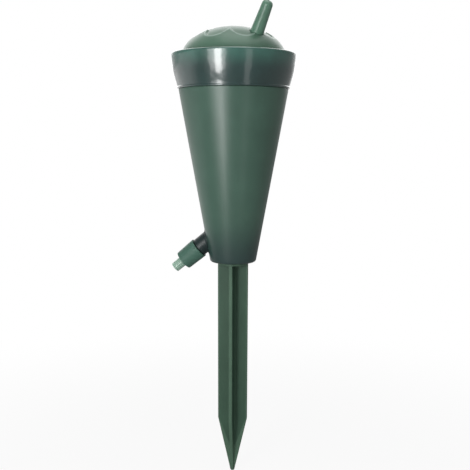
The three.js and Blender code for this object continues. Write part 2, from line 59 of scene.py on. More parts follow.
PEG_TILT = math.acos(PEG_AXIS.z)

# Fits, in millimetres
SEAT_GAP = 0.3
SLIDE_GAP = 0.4
SEAL_GAP = 0.15

# Reservoir and band, heights above the underside of the floor
HEIGHT = RIM_Z - FLOOR_Z
FLOOR_RADIUS = 15.6
MOUTH_RADIUS = 41.1
WALL_ACROSS = 2.44
FLOOR = 3.0
FLOOR_ROUND = 2.1
INNER_ROUND = 2.0
BAND_HEIGHT = 23.0
BAND_PROUD = 1.65
BAND_LIP = 0.4
BAND_BEAD = 0.45
BAND_SEAT = 0.9
BAND_BELLY = 11.0
BAND_EDGE = 1.1
SOCKET_RADIUS = 7.93
SOCKET_TOP = 9.3
SOCKET_ROOF = 2.0

# Spike
SPIKE_HALF = 10.45
POINT_HALF = 10.2
POINT_LENGTH = 38.7
TIP_HALF = 0.95
FIN = 2.4
FIN_EDGE = 0.45
FIN_FILLET = 1.6
# How much further the painted light of the fin edges reaches in at the spike's tip, in mm
POINT_PAINTED_LIGHT = 5.5
HEAD_PLATE = 1.6
TENON_HALF = 5.5
TENON_TOP = 8.7

# Lid, heights above the band's top edge
FLANGE = 2.0
FLANGE_EDGE = 0.5
FLANGE_RADIUS = 39.74
DOME_RADIUS = FLANGE_RADIUS - 5.1
DOME_HEIGHT = 18.8
DOME_SINK = 3.8
DOME_RISE = DOME_HEIGHT + DOME_SINK
DOME_SPAN = DOME_RADIUS / math.cos(math.asin(DOME_SINK / DOME_RISE))
DOME_FILLET = 0.6
LID_WALL = 2.2
PLUG_DEPTH = 10.0
PLUG_WALL = 2.0
LID_SEAL = 1.0
LOBES = 8
LOBE_RADIUS = 8.4
LOBE_CIRCLE = DOME_RADIUS - 13.6
LOBE_HALF = math.pi / LOBES
CUSP_ACROSS = LOBE_CIRCLE * math.sin(LOBE_HALF)
CUSP_RADIUS = LOBE_CIRCLE * math.cos(LOBE_HALF) + math.sqrt(LOBE_RADIUS ** 2 - CUSP_ACROSS ** 2)
RECESS_DEPTH = 0.9
RECESS_EDGE = 2.0
RECESS_FOOT = 0.8
RECESS_RIM = 0.45

# Peg, along its axis from the dome's surface
PEG_REACH = DOME_RADIUS - 10.1
PEG_SINK = 1.1
PEG_LENGTH = 20.7
PEG_BASE = 4.5
PEG_TOP = 3.5
PEG_ROUND = 2.6
PEG_PLUG = 3.0
PEG_GROOVE = 2.2
PEG_BOSS = 8.5
PEG_BOSS_WALL = 1.6
PEG_RING = 0.4
VENT = 0.7

# Valve, along its axis from the outside of the wall
NECK = 6.25
NECK_END = 7.1
NECK_FOOT = 1.1
NECK_INNER = -3.49
SPOT_RADIUS = 6.65
SPOT_DEPTH = 4.79
BOSS_FACE = -7.39
BOSS_RADIUS = 7.95
SHANK = 3.3
SHANK_END = -14.49
NUT_FLATS = 10.6
NUT_HEIGHT = 3.0
NUT_CHAMFER = 0.6
STRAINER_WALL = 1.1
STRAINER_CHAMBER = 4.0
STRAINER_SLOT = 1.0
FLOW_BORE = 1.7
ORIFICE = 0.8
ORIFICE_START = 1.1
ORIFICE_END = 2.2
CORE = 4.2
CORE_END = NECK_END + 5.0
LAND = 3.45
GROOVE = 3.05
KNOB_RING_AT = CORE_END + 3.45
KNOB_RING = 0.6
KNOB_RING_RADIUS = 3.8
NIPPLE_END = KNOB_RING_AT + 1.15
THREAD_PITCH = 1.5
THREAD_DEPTH = 0.5
THREAD_PLAY = 0.25
OVERLAP = 0.4
RIDGE_ROOT = 0.7
RIDGE_CREST = 0.4
KNOB = 7.15
KNOB_END = 6.65
KNOB_EDGE = 0.3
KNOB_END_WALL = 2.43
WIDE_BORE = 4.95
NARROW_BORE = 4.55
NEEDLE = 1.0
NEEDLE_POINT = 0.35
NEEDLE_DISC = 1.0
FLOW_HOLE = 0.7
TIP_BASE = 3.6
TIP_END = 3.4
TIP_BORE = 1.7
TIP_REACH = 7.9
TIP_FLANGE = 0.6
TIP_EDGE = 0.15
TIP_FUNNEL = 1.6
KNOB_START = NECK_END + SEAT_GAP
WIDE_END = CORE_END + SEAT_GAP
DISC_LOW = NIPPLE_END + SEAT_GAP
DISC_HIGH = DISC_LOW + NEEDLE_DISC
DISC_RADIUS = NARROW_BORE - SEAT_GAP
FLOW_CIRCLE = (NEEDLE + DISC_RADIUS) / 2
TIP_LOW = DISC_HIGH + SEAT_GAP
TIP_SHOULDER = TIP_LOW + TIP_FLANGE
KNOB_FLOOR = TIP_SHOULDER + SEAT_GAP
KNOB_STOP = KNOB_FLOOR + KNOB_END_WALL

# Fineness of the round surfaces
LARGE_SIDES = 256
SMALL_SIDES = 96
LOBE_STEPS = 32
ARC_STEPS = 8
DOME_STEPS = 28
FLOOR_STEPS = 12
SMOOTH_ANGLE = math.radians(32)
ROUND_SHARE = 0.96

# Camera: fitted to the band's and the floor's ellipses, for a picture of 470 by 470
CAMERA_AZIMUTH = 9.0
CAMERA_DISTANCE = 530.3
CAMERA_BELOW_RIM = 57.7
CAMERA_PITCH = 6.88
CAMERA_YAW = -0.14
CAMERA_ROLL = 0.19
FOCAL_PIXELS = 778.2
PICTURE_PIXELS = 470
SENSOR_MM = 36.0


def rounded(corners, closed=False):
    """Points along corners (x, y, rounding); two arcs too long for the side between them share it."""
    count = len(corners)
    points = [Vector(corner[:2]) for corner in corners]
    wanted = []
    for i, corner in enumerate(corners):
        if len(corner) < 3 or (not closed and i in (0, count - 1)):
            wanted.append(0)
            continue
        sides = [points[i - 1] - points[i], points[(i + 1) % count] - points[i]]
        wanted.append(corner[2] / math.tan(sides[0].angle(sides[1]) / 2))
    result = []
    for i, here in enumerate(points):
        if wanted[i] == 0:
            result.append(here)
            continue
        sides = [points[i - 1] - here, points[(i + 1) % count] - here]
        reach = wanted[i]
        for side, other in zip(sides, (wanted[i - 1], wanted[(i + 1) % count])):
            reach = min(reach, ROUND_SHARE * side.length * wanted[i] / (wanted[i] + other))
        before, after = (side.normalized() for side in sides)
        half = before.angle(after) / 2
        centre = here + (before + after).normalized() * (reach / math.cos(half))
        start = here + before * reach - centre
        sweep = start.angle_signed(here + after * reach - centre)
        for step in range(ARC_STEPS + 1):
            result.append(centre + Matrix.Rotation(-sweep * step / ARC_STEPS, 2) @ start)
    return result


def subdivided(points, longest):
    """The same line with extra points, so that no stretch is longer than asked."""
    result = [points[0]]
    for a, b in zip(points, points[1:]):
        steps = max(1, math.ceil((b - a).length / longest))
        result.extend(a.lerp(b, step / steps) for step in range(1, steps + 1))
    return result


def turned(radius, height, sides):
    """A ring of points about +Z, or one point on the axis."""
    if radius < 1e-6:
        return [Vector((0, 0, height))]
    angles = [2 * math.pi * i / sides for i in range(sides)]
    return [Vector((radius * math.cos(a), radius * math.sin(a), height)) for a in angles]


def skinned(rings, loop=False):
    """Vertices and faces of a skin over rings of equal count; a ring of one point closes an end."""
    vertices = [point for ring in rings for point in ring]
    starts = [sum(len(ring) for ring in rings[:i]) for i in range(len(rings))]
    pairs = [(i, i + 1) for i in range(len(rings) - 1)]
    if loop:
        pairs.append((len(rings) - 1, 0))
    faces = []
    for low, high in pairs:
        count = max(len(rings[low]), len(rings[high]))
        for i in range(count):
            j = (i + 1) % count
            a, b = (starts[low] + (k if len(rings[low]) > 1 else 0) for k in (i, j))
            c, d = (starts[high] + (k if len(rings[high]) > 1 else 0) for k in (j, i))
            corners = list(dict.fromkeys((a, b, c, d)))
            faces.append(corners)
    return vertices, faces


def add_solid(name, vertices, faces, place=Matrix()):
    """A closed mesh object in metres, from points in millimetres and their place in the frame."""
    mesh = bpy.data.meshes.new(name)
    mesh.from_pydata([(place @ v) * MM for v in vertices], [], faces)
    clean(mesh)
    solid = bpy.data.objects.new(name, mesh)
    bpy.context.scene.collection.objects.link(solid)
    return solid


def clean(mesh):
    """Merges doubled points and turns all faces outwards."""
    work = bmesh.new()
    work.from_mesh(mesh)
    bmesh.ops.remove_doubles(work, verts=work.verts, dist=1e-7)
    bmesh.ops.dissolve_degenerate(work, edges=work.edges, dist=1e-7)
    bmesh.ops.recalc_face_normals(work, faces=work.faces)
    work.to_mesh(mesh)
    work.free()


def lathe(name, corners, sides, place=Matrix(), longest=1000.0):
    """A solid of revolution whose profile starts and ends on the axis."""
    points = subdivided(rounded(corners), longest)
    return add_solid(name, *skinned([turned(p.x, p.y, sides) for p in points]), place)


def ring(name, corners, sides, place=Matrix(), longest=1000.0):
    """A hollow solid of revolution whose profile closes on itself."""
    points = rounded(corners, closed=True)
    points = subdivided(points + [points[0]], longest)[:-1]
    return add_solid(name, *skinned([turned(p.x, p.y, sides) for p in points], loop=True), place)


def torus(name, radius, thickness, height, place):
    """A sealing ring of round section."""
    corners = []
    for step in range(24):
        angle = 2 * math.pi * step / 24
        corners.append((radius + thickness * math.cos(angle), height + thickness * math.sin(angle)))
    return ring(name, corners, SMALL_SIDES, place)


def block(name, size, centre, place=Matrix()):
    """A box, for cutting and joining."""
    x, y, z = (value / 2 for value in size)
    corners = [Vector((sx * x, sy * y, sz * z)) for sz in (-1, 1) for sy in (-1, 1) for sx in (-1, 1)]
    faces = [(0, 2, 3, 1), (4, 5, 7, 6), (0, 1, 5, 4), (2, 6, 7, 3), (0, 4, 6, 2), (1, 3, 7, 5)]
    return add_solid(name, [corner + Vector(centre) for corner in corners], faces, place)


def bar(name, radius, low, high, place=Matrix(), sides=SMALL_SIDES):
    """A round bar along +Z, for cutting and joining."""
    return lathe(name, [(0, low), (radius, low), (radius, high), (0, high)], sides, place)


def combine(target, tool, operation):
    """Joins, cuts or trims the target by the tool, and deletes the tool."""
    modifier = target.modifiers.new("combine", "BOOLEAN")
    modifier.object = tool
    modifier.operation = operation
    modifier.solver = "EXACT"
    graph = bpy.context.evaluated_depsgraph_get()
    mesh = bpy.data.meshes.new_from_object(target.evaluated_get(graph))
    target.modifiers.clear()
    old = target.data
    target.data = mesh
    mesh.name = target.name
    bpy.data.meshes.remove(old)
    tool_mesh = tool.data
    bpy.data.objects.remove(tool)
    bpy.data.meshes.remove(tool_mesh)
    clean(mesh)


def finish_piece(piece, node, body, material):
    """Smooth shading, the material, and what the piece stands for and moves with."""
    mesh = piece.data
    mesh.polygons.foreach_set("use_smooth", [True] * len(mesh.polygons))
    mesh.set_sharp_from_angle(angle=SMOOTH_ANGLE)
    mesh.materials.clear()
    mesh.materials.append(material)
    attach(piece, body)
    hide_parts(node)


# Materials


def new_material(name):
    """An empty node material with its Principled shader."""
    material = bpy.data.materials.new(name)
    material.use_nodes = True
    shader = material.node_tree.nodes["Principled BSDF"]
    return material, material.node_tree, shader


def noise(tree, scale, detail=2.0, roughness=0.5):
    """A noise texture in the object's own metres."""
    where = tree.nodes.new("ShaderNodeTexCoord")
    texture = tree.nodes.new("ShaderNodeTexNoise")
    texture.inputs["Scale"].default_value = scale
    texture.inputs["Detail"].default_value = detail
    texture.inputs["Roughness"].default_value = roughness
    tree.links.new(where.outputs["Object"], texture.inputs["Vector"])
    return texture


def ramp(tree, source, low, high, start=0.3, end=0.7):
    """A colour ramp between two colours, driven by a texture's value."""
    node = tree.nodes.new("ShaderNodeValToRGB")
    node.color_ramp.elements[0].position = start
    node.color_ramp.elements[1].position = end
    node.color_ramp.elements[0].color = (*low, 1)
    node.color_ramp.elements[1].color = (*high, 1)
    tree.links.new(source, node.inputs["Fac"])
    return node


def graded(tree, source, start, end, low, high):
    """A value that runs smoothly from low to high while its source runs from start to end."""
    node = tree.nodes.new("ShaderNodeMapRange")
    node.interpolation_type = "SMOOTHSTEP"
    node.inputs["From Min"].default_value = start
    node.inputs["From Max"].default_value = end
    node.inputs["To Min"].default_value = low
    node.inputs["To Max"].default_value = high
    tree.links.new(source, node.inputs["Value"])
    return node.outputs["Result"]


def vector_math(tree, operation, source, other=None):
    """A vector operation on a direction, and on a fixed vector where it needs one."""
    node = tree.nodes.new("ShaderNodeVectorMath")
    node.operation = operation
    tree.links.new(source, node.inputs[0])
    if other is not None:
        node.inputs[1].default_value = other
    return node.outputs


def shade(colour, factor):
    """A colour made lighter or darker."""
    return tuple(channel * factor for channel in colour)


def clouded(tree, colour, spread):
    """A colour that varies in soft clouds."""
    clouds = noise(tree, 45.0, 4.0, 0.55).outputs["Fac"]
    tones = ramp(tree, clouds, shade(colour, 1 - spread), shade(colour, 1 + spread))
    return tones.outputs["Color"]


def frame_height(tree):
    """Height in the frame, in metres."""
    where = tree.nodes.new("ShaderNodeTexCoord")
    split = tree.nodes.new("ShaderNodeSeparateXYZ")
    tree.links.new(where.outputs["Object"], split.inputs["Vector"])
    return split.outputs["Z"]


def frame_reach(tree):
    """Distance from the frame's axis, in metres."""
    where = tree.nodes.new("ShaderNodeTexCoord")
    across = vector_math(tree, "MULTIPLY", where.outputs["Object"], (1, 1, 0))["Vector"]
    return vector_math(tree, "LENGTH", across)["Value"]


def fin_edge(tree):
    """Distance out from the edges of the spike's fins, in metres, raised towards the tip, where painted
    light covers the point.
    """
    half = tree.nodes.new("ShaderNodeMapRange")
    half.inputs["From Min"].default_value = (TIP_Z + TIP_HALF) * MM
    half.inputs["From Max"].default_value = (TIP_Z + POINT_LENGTH) * MM
    half.inputs["To Min"].default_value = (1.5 * TIP_HALF - POINT_PAINTED_LIGHT) * MM
    half.inputs["To Max"].default_value = POINT_HALF * MM
    tree.links.new(frame_height(tree), half.inputs["Value"])
    beyond = tree.nodes.new("ShaderNodeMath")
    beyond.operation = "SUBTRACT"
    tree.links.new(frame_reach(tree), beyond.inputs[0])
    tree.links.new(half.outputs["Result"], beyond.inputs[1])
    return beyond.outputs[0]


def passing(tree, first, second, measure, start, end):
    """One colour that passes into another while a measure runs from start to end, in millimetres."""
    mix = tree.nodes.new("ShaderNodeMix")
    mix.data_type = "RGBA"
    share = graded(tree, measure(tree), start * MM, end * MM, 0.0, 1.0)
    tree.links.new(share, mix.inputs["Factor"])
    tree.links.new(first, mix.inputs["A"])
    tree.links.new(second, mix.inputs["B"])
    return mix.outputs["Result"]


def moulded(name, colour, roughness, spread, grain, ripple=None, fade=None, **sockets):
    """Moulded plastic: cloudy colour, uneven gloss, fine grain, and a ripple or second colour if asked."""
    material, tree, shader = new_material(name)
    tone = clouded(tree, colour, spread)
    if fade is not None:
        tone = passing(tree, clouded(tree, fade[0], spread), tone, *fade[1:])
    tree.links.new(tone, shader.inputs["Base Color"])
    patches = noise(tree, 140.0, 3.0)
    gloss = tree.nodes.new("ShaderNodeMapRange")
    gloss.inputs["To Min"].default_value = roughness * 0.92
    gloss.inputs["To Max"].default_value = roughness * 1.08
    tree.links.new(patches.outputs["Fac"], gloss.inputs["Value"])
    tree.links.new(gloss.outputs["Result"], shader.inputs["Roughness"])
    fine = tree.nodes.new("ShaderNodeBump")
    fine.inputs["Strength"].default_value = 0.6
    fine.inputs["Distance"].default_value = grain[1] * MM
    tree.links.new(noise(tree, grain[0], 2.0).outputs["Fac"], fine.inputs["Height"])
    if ripple is not None:
        wave = tree.nodes.new("ShaderNodeBump")
        wave.inputs["Strength"].default_value = 1.0
        wave.inputs["Distance"].default_value = ripple[1] * MM
        tree.links.new(noise(tree, ripple[0], 1.0).outputs["Fac"], wave.inputs["Height"])
        tree.links.new(wave.outputs["Normal"], fine.inputs["Normal"])
    tree.links.new(fine.outputs["Normal"], shader.inputs["Normal"])
    tree.links.new(fine.outputs["Normal"], shader.inputs["Coat Normal"])
    for socket, value in sockets.items():
        shader.inputs[socket.replace("_", " ")].default_value = value
    return material


# The band's coat and the tip's clearness
GLOSSY = {"Coat_Weight": 1.0, "Coat_Roughness": 0.12, "Coat_IOR": 1.6}
CLEAR = {"Transmission_Weight": 0.15, "IOR": 1.46}

# Second colours: each passes into its plastic's own along a measure, between two values in millimetres
# Painted shade: the cone turns darker towards its foot, for less light from below, and for the floor inside
# seen through the plastic
FOOT_SHADE_AND_TINT = ((0.022, 0.045, 0.042), frame_height, FLOOR_Z, FLOOR_Z + 36)
# Painted light: the band is lighter at its top, where light shines through the thin plastic, and darker
# below
BAND_PAINTED_LIGHT = ((0.009, 0.034, 0.031), frame_height, RIM_Z - 13, RIM_Z - 1)
# Painted shade: darker in the corners between the spike's fins, while the fin edges keep the lighter colour
# as painted light
FIN_PAINTED_SHADE = ((0.037, 0.078, 0.051), fin_edge, -1.2, -0.1)

# Each plastic: colour, roughness, spread of its clouds, then grain and ripple as scale and depth in mm
reservoir_plastic = moulded(
    "reservoir_plastic", (0.046, 0.0965, 0.0715), 0.33, 0.08, (1500.0, 0.02), fade=FOOT_SHADE_AND_TINT)
band_plastic = moulded(
    "band_plastic", (0.028, 0.1, 0.078), 0.3, 0.2, (900.0, 0.001), (130.0, 0.12), fade=BAND_PAINTED_LIGHT, **GLOSSY)
lid_plastic = moulded("lid_plastic", (0.072, 0.148, 0.102), 0.36, 0.07, (1700.0, 0.015))
# Painted highlight: a lighter plastic for the recess's outline, where its rounded edge catches light
rim_highlight_plastic = moulded("rim_highlight_plastic", (0.18, 0.27, 0.22), 0.3, 0.07, (1700.0, 0.01))
peg_plastic = moulded("peg_plastic", (0.09, 0.184, 0.13), 0.33, 0.15, (1200.0, 0.003), (150.0, 0.015))
spike_plastic = moulded(
    "spike_plastic", (0.064, 0.118, 0.08), 0.5, 0.1, (1400.0, 0.012), (80.0, 0.03), fade=FIN_PAINTED_SHADE,
    Specular_IOR_Level=0.2)
valve_plastic = moulded(
    "valve_plastic", (0.011, 0.021, 0.021), 0.4, 0.2, (1600.0, 0.01), Specular_IOR_Level=0.36)
knob_plastic = moulded(
    "knob_plastic", (0.053, 0.119, 0.09), 0.5, 0.1, (1600.0, 0.012), Specular_IOR_Level=0.25)
rubber = moulded("seal_rubber", (0.014, 0.015, 0.015), 0.7, 0.25, (2200.0, 0.02))
natural_plastic = moulded("natural_plastic", (0.55, 0.58, 0.54), 0.45, 0.05, (1600.0, 0.01))
tip_plastic = moulded("tip_plastic", (0.265, 0.4, 0.322), 0.24, 0.08, (1300.0, 0.006), **CLEAR)

# Places in the frame
RESERVOIR = Matrix.Translation((0, 0, FLOOR_Z))
LID = Matrix.Translation((0, 0, RIM_Z)) @ Matrix.Rotation(LID_TURN, 4, "Z")
VALVE_TURN = Vector((0, 0, 1)).rotation_difference(VALVE_AXIS).to_matrix().to_4x4()
VALVE = Matrix.Translation(VALVE_ORIGIN) @ VALVE_TURN
PEG_RISE = DOME_RISE * math.sqrt(1 - (PEG_REACH / DOME_SPAN) ** 2) - DOME_SINK
PEG = LID @ Matrix.Translation((PEG_REACH, 0, PEG_RISE)) @ Matrix.Rotation(PEG_TILT, 4, "Y")
POCKET_RADIUS = PEG_BASE + SLIDE_GAP
POCKET_DEPTH = RECESS_DEPTH + PEG_SINK
PEG_RING_AT = -POCKET_DEPTH - PEG_BOSS / 2


def cone_radius(height):
    """Outside radius of the cone at a height above the underside of its floor."""
    return FLOOR_RADIUS + (MOUTH_RADIUS - FLOOR_RADIUS) * height / HEIGHT


def make_spike():
    """Four tapered fins with rounded edges and filleted roots, a head plate and a cross tenon."""
    head = FLOOR_Z - SEAT_GAP
    plate_low = head - HEAD_PLATE
    point_start = TIP_Z + POINT_LENGTH
    levels = [(plate_low + HEAD_PLATE / 2, SPIKE_HALF, FIN)]
    for step in range(25):
        share = step / 24
        height = plate_low + (point_start - plate_low) * share
        levels.append((height, SPIKE_HALF + (POINT_HALF - SPIKE_HALF) * share, FIN))
    for step in range(1, 17):
        share = step / 16
        height = point_start + (TIP_Z + TIP_HALF - point_start) * share
        width = POINT_HALF + (TIP_HALF * 1.5 - POINT_HALF) * share
        levels.append((height, width, FIN * (1 - 0.25 * share)))
    for share in (0.45, 0.8):
        height = TIP_Z + TIP_HALF * (1 - share)
        levels.append((height, TIP_HALF * 1.5 * math.cos(share), FIN * 0.75 * math.cos(share)))
    rings = [fin_section(*level) for level in levels]
    top_centre = [Vector((0, 0, levels[0][0]))]
    fins = add_solid("spike_fins", *skinned([top_centre, *rings, [Vector((0, 0, TIP_Z))]]))
    plate = [(0, plate_low), (SPIKE_HALF, plate_low, 0.4), (SPIKE_HALF, head, 0.3), (0, head)]
    combine(fins, lathe("spike_plate", plate, LARGE_SIDES // 2), "UNION")
    for size in ((2 * TENON_HALF, FIN), (FIN, 2 * TENON_HALF)):
        low = head - HEAD_PLATE / 2
        high = FLOOR_Z + TENON_TOP
        combine(fins, block("spike_tenon", (*size, high - low), (0, 0, (low + high) / 2)), "UNION")
    finish_piece(fins, "ground_spike", "spike", spike_plastic)


def fin_section(height, half, fin):
    """One cross-shaped ring of points, with rounded fin edges and filleted roots."""
    edge = min(FIN_EDGE, fin * 0.3)
    fillet = max(0.05, min(FIN_FILLET, (half - fin / 2) * 0.4))
    corners = []
    for quarter in range(4):
        turn = Matrix.Rotation(quarter * math.pi / 2, 2)
        for x, y, radius in ((half, -fin / 2, edge), (half, fin / 2, edge), (fin / 2, fin / 2, fillet)):
            corner = turn @ Vector((x, y))
            corners.append((corner.x, corner.y, radius))
    return [Vector((p.x, p.y, height)) for p in rounded(corners, closed=True)]


def make_reservoir():
    """Conical shell with its floor, spike socket and valve boss, bored for the valve."""
    seat_low = HEIGHT - BAND_HEIGHT - SEAT_GAP
    wall_top = HEIGHT - FLANGE - LID_SEAL - 2 * SEAL_GAP
    shell = lathe("reservoir", [
        (0, 0),
        (FLOOR_RADIUS, 0, FLOOR_ROUND),
        (cone_radius(seat_low), seat_low, 0.3),
        (cone_radius(seat_low) - BAND_SEAT, seat_low),
        (cone_radius(wall_top) - BAND_SEAT, wall_top, 0.3),
        (cone_radius(wall_top) - WALL_ACROSS, wall_top, 0.3),
        (cone_radius(FLOOR) - WALL_ACROSS, FLOOR, INNER_ROUND),
        (SOCKET_RADIUS, FLOOR, 0.6),
        (SOCKET_RADIUS, SOCKET_TOP + SOCKET_ROOF, 0.5),
        (0, SOCKET_TOP + SOCKET_ROOF),
    ], LARGE_SIDES, RESERVOIR, longest=4.0)
    boss = bar("valve_boss", BOSS_RADIUS, BOSS_FACE, NECK_END, VALVE)
    middle = WALL_ACROSS / 2
    within = lathe("within_wall", [
        (0, FLOOR / 2),
        (cone_radius(FLOOR / 2) - middle, FLOOR / 2),
        (cone_radius(seat_low) - middle, seat_low),
        (0, seat_low),
    ], LARGE_SIDES, RESERVOIR)
    combine(boss, within, "INTERSECT")
    combine(shell, boss, "UNION")
    combine(shell, bar("counterbore", SPOT_RADIUS, -SPOT_DEPTH, 2 * NECK, VALVE), "DIFFERENCE")
    combine(shell, bar("shank_hole", SHANK + SEAT_GAP, SHANK_END, 0, VALVE), "DIFFERENCE")
    for size in ((2 * TENON_HALF, FIN), (FIN, 2 * TENON_HALF)):
        slot = (size[0] + 2 * SEAT_GAP, size[1] + 2 * SEAT_GAP, SOCKET_TOP + FLOOR)
        combine(shell, block("socket", slot, (0, 0, (SOCKET_TOP - FLOOR) / 2), RESERVOIR), "DIFFERENCE")
    finish_piece(shell, "reservoir_cone", "reservoir", reservoir_plastic)


def make_band():
    """Glossy band: rounded top edge, straight upper half, belly curving in to a small beaded lip."""
    low = HEIGHT - BAND_HEIGHT
    belly = HEIGHT - BAND_BELLY
    inside = -BAND_SEAT + SEAT_GAP
    lip = cone_radius(low) + BAND_LIP
    band = ring("band", [
        (cone_radius(low) + inside, low),
        (lip + BAND_BEAD / 2, low, BAND_BEAD),
        (lip + BAND_BEAD, low + 2 * BAND_BEAD, BAND_BEAD),
        (lip + BAND_BEAD / 2, low + 3 * BAND_BEAD, BAND_BEAD),
        (cone_radius(belly) + BAND_PROUD, belly, 60.0),
        (MOUTH_RADIUS + BAND_PROUD, HEIGHT, BAND_EDGE),
        (MOUTH_RADIUS + inside, HEIGHT, 0.4),
    ], LARGE_SIDES, RESERVOIR, longest=2.0)
    finish_piece(band, "rim_band", "reservoir", band_plastic)


def recess_columns():
    """For each column of the lid: its lobe's centre and the direction outward from there."""
    cusp = Vector((math.cos(LOBE_HALF), math.sin(LOBE_HALF))) * CUSP_RADIUS
    widest = math.atan2(cusp.y, cusp.x - LOBE_CIRCLE)
    columns = []
    for lobe in range(LOBES):
        facing = (2 * lobe + 1) * LOBE_HALF
        centre = Vector((math.cos(facing), math.sin(facing))) * LOBE_CIRCLE
        for step in range(LOBE_STEPS + 1):
            angle = facing + widest * (2 * step / LOBE_STEPS - 1)
            columns.append((centre, Vector((math.cos(angle), math.sin(angle)))))
    return columns


def dome_z(point, inset=0.0):
    """Height of the dome, or of the surface that lies inside it, at a point seen from above."""
    share = min(point.length / (DOME_SPAN - inset), 1.0)
    return (DOME_RISE - inset) * math.sqrt(1 - share ** 2) - DOME_SINK


def dome_arc(inset, foot):
    """Profile points of the dome, or of the surface that lies inside it, from a height up to the axis."""
    start = math.asin((foot + DOME_SINK) / (DOME_RISE - inset))
    points = []
    for step in range(DOME_STEPS):
        angle = start + (math.pi / 2 - start) * step / DOME_STEPS
        radius = (DOME_SPAN - inset) * math.cos(angle)
        points.append((radius, (DOME_RISE - inset) * math.sin(angle) - DOME_SINK))
    points.append((0, DOME_HEIGHT - inset))
    return points


def recess_edge():
    """Distance in from the recess's outline and depth there: a rounded edge, then a hollow foot."""
    turn = math.acos(1 - RECESS_DEPTH / (RECESS_EDGE + RECESS_FOOT))
    points = []
    for step in range(ARC_STEPS + 1):
        angle = turn * step / ARC_STEPS
        points.append((RECESS_EDGE * math.sin(angle), RECESS_EDGE * (1 - math.cos(angle))))
    width = (RECESS_EDGE + RECESS_FOOT) * math.sin(turn)
    for step in range(ARC_STEPS // 2 - 1, -1, -1):
        angle = turn * step / (ARC_STEPS // 2)
        across = width - RECESS_FOOT * math.sin(angle)
        points.append((across, RECESS_DEPTH - RECESS_FOOT * (1 - math.cos(angle))))
    return points


def lid_rings():
    """Rings of the lid from the middle of its recess out over the dome, the flange and the underside."""
    columns = recess_columns()
    edge = recess_edge()
    foot = [centre + outward * (LOBE_RADIUS - edge[-1][0]) for centre, outward in columns]
    outline = [centre + outward * LOBE_RADIUS for centre, outward in columns]
    rings = [[Vector((0, 0, DOME_HEIGHT - RECESS_DEPTH))]]
    for step in range(1, FLOOR_STEPS):
        share = step / FLOOR_STEPS
        rings.append([Vector((*(p * share), dome_z(p * share, RECESS_DEPTH))) for p in foot])
    for inward, depth in reversed(edge):
        row = [centre + outward * (LOBE_RADIUS - inward) for centre, outward in columns]
        rings.append([Vector((*p, dome_z(p, depth))) for p in row])
    lowest = math.asin((DOME_FILLET + DOME_SINK) / DOME_RISE)
    for step in range(1, DOME_STEPS + 1):
        row = []
        for p in outline:
            start = math.acos(p.length / DOME_SPAN)
            angle = start + (lowest - start) * step / DOME_STEPS
            across = p.normalized() * DOME_SPAN * math.cos(angle)
            row.append(Vector((*across, DOME_RISE * math.sin(angle) - DOME_SINK)))
        rings.append(row)
    for p in lid_profile(DOME_SPAN * math.cos(lowest)):
        if p.x < 1e-6:
            rings.append([Vector((0, 0, p.y))])
        else:
            rings.append([Vector((*(point.normalized() * p.x), p.y)) for point in outline])
    return rings


def lid_profile(foot):
    """The lid's profile from the dome's foot round the flange and the plug to the underside's middle."""
    plug_top = cone_radius(HEIGHT - FLANGE) - WALL_ACROSS - SLIDE_GAP
    plug_end = cone_radius(HEIGHT - FLANGE - PLUG_DEPTH) - WALL_ACROSS - SLIDE_GAP
    bottom = -FLANGE - PLUG_DEPTH
    corners = [
        (foot, DOME_FILLET),
        (DOME_RADIUS, 0, 2 * DOME_FILLET),
        (FLANGE_RADIUS, 0, FLANGE_EDGE),
        (FLANGE_RADIUS, -FLANGE, 0.3),
        (plug_top, -FLANGE),
        (plug_end, bottom, FLANGE_EDGE),
        (plug_end - PLUG_WALL, bottom, FLANGE_EDGE),
        (plug_top - PLUG_WALL, -FLANGE, 0.6),
        *dome_arc(RECESS_DEPTH + LID_WALL, -FLANGE),
    ]
    return rounded(corners)[1:]


def on_rim(point):
    """Whether a point seen from above lies along the recess's outline."""
    lobe = (2 * math.floor(math.atan2(point.y, point.x) / (2 * LOBE_HALF)) + 1) * LOBE_HALF
    centre = Vector((math.cos(lobe), math.sin(lobe))) * LOBE_CIRCLE
    beside = abs((point - centre).length - LOBE_RADIUS) < RECESS_RIM
    return beside and point.length > CUSP_RADIUS - RECESS_RIM


def paint_rim_highlight(lid):
    """Gives the faces along the recess's outline a lighter plastic: a painted highlight where the rounded
    edge catches light.
    """
    lid.data.materials.append(rim_highlight_plastic)
    to_lid = LID.inverted()
    for face in lid.data.polygons:
        centre = to_lid @ (face.center / MM)
        if centre.z > 0 and face.normal.z > 0 and on_rim(centre.xy):
            face.material_index = 1


def make_lid():
    """Domed lid with its scalloped recess, flange, plug skirt and the peg's socket."""
    lid = add_solid("lid", *skinned(lid_rings()), LID)
    boss_end = -POCKET_DEPTH - PEG_BOSS
    boss = bar("peg_boss", POCKET_RADIUS + PEG_BOSS_WALL, boss_end, PEG_BOSS, PEG)
    under = [(0, boss_end), (DOME_RADIUS, boss_end), *dome_arc(RECESS_DEPTH + LID_WALL / 2, 0)]
    combine(boss, lathe("under_dome", under, LARGE_SIDES, LID), "INTERSECT")
    combine(lid, boss, "UNION")
    combine(lid, bar("peg_pocket", POCKET_RADIUS, -POCKET_DEPTH, PEG_LENGTH, PEG), "DIFFERENCE")
    combine(lid, bar("peg_hole", PEG_PLUG + SEAT_GAP, boss_end - PEG_BOSS, 0, PEG), "DIFFERENCE")
    finish_piece(lid, "lid_dome", "lid", lid_plastic)
    paint_rim_highlight(lid)


